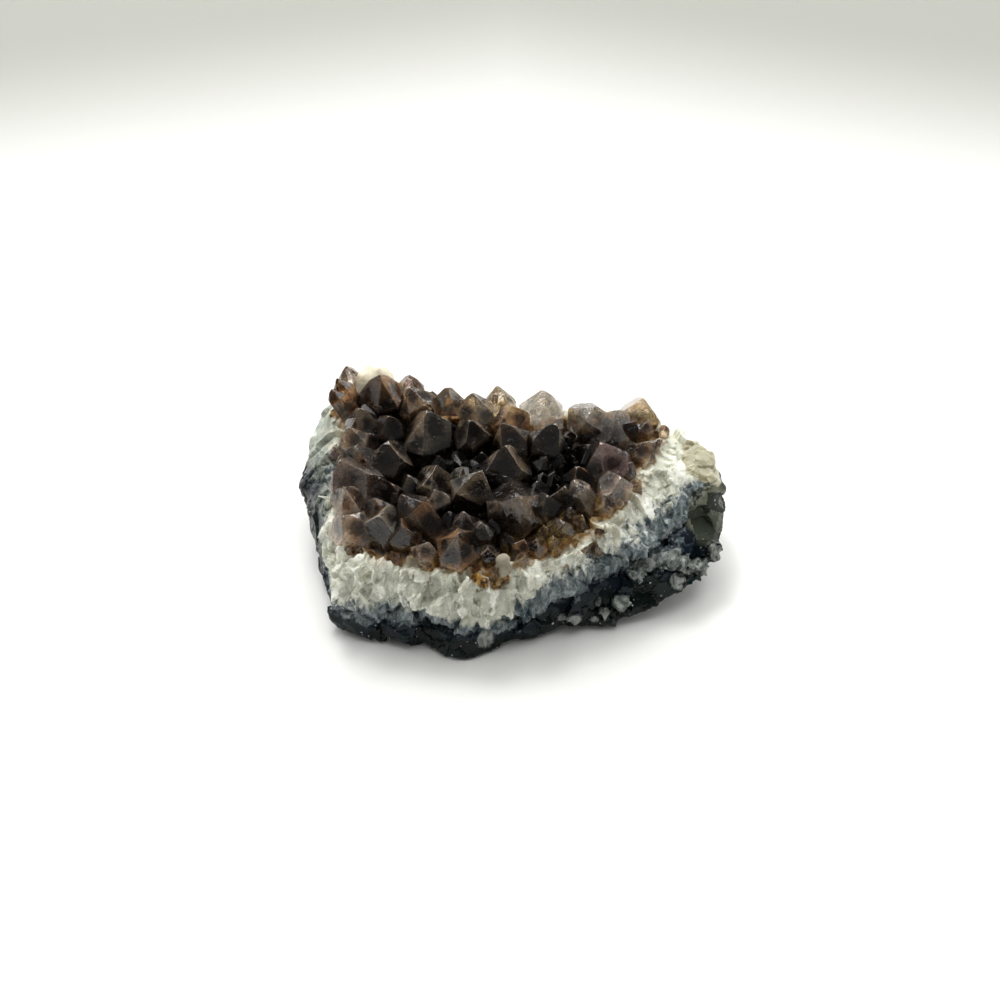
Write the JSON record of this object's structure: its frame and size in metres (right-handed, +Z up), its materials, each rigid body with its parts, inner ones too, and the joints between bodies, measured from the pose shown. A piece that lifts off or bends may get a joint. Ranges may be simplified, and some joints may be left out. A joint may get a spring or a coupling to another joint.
{
  "type": "smoky quartz cluster",
  "caption": "Smoky quartz crystals grown over a band of milky quartz on a dark rind, with a small calcite lump; rests on its underside.",
  "frame": {"origin": "centre of the bounding box in plan, at the height of the flat resting spot", "axes": "+X towards the bare tapered end, +Z up out of the crystals' bed, -Y towards the long broken face with the pointed corner"},
  "size_m": [0.1034, 0.07, 0.037],
  "materials": {
    "dark_chalcedony": "rough broken chalcedony, waxy, blue-green black",
    "milky_quartz": "granular broken milky quartz, sugary and partly translucent",
    "smoky_quartz": "see-through smoky brown to lilac quartz with flat glossy faces and rusty stains at the roots",
    "cream_calcite": "smooth cream calcite, slightly waxy"
  },
  "bodies": {
    "root": {"chalcedony_rind": "dark_chalcedony", "milky_quartz_band": "milky_quartz", "smoky_quartz_crystals": "smoky_quartz", "calcite_lump": "cream_calcite"}
  },
  "joints": []
}
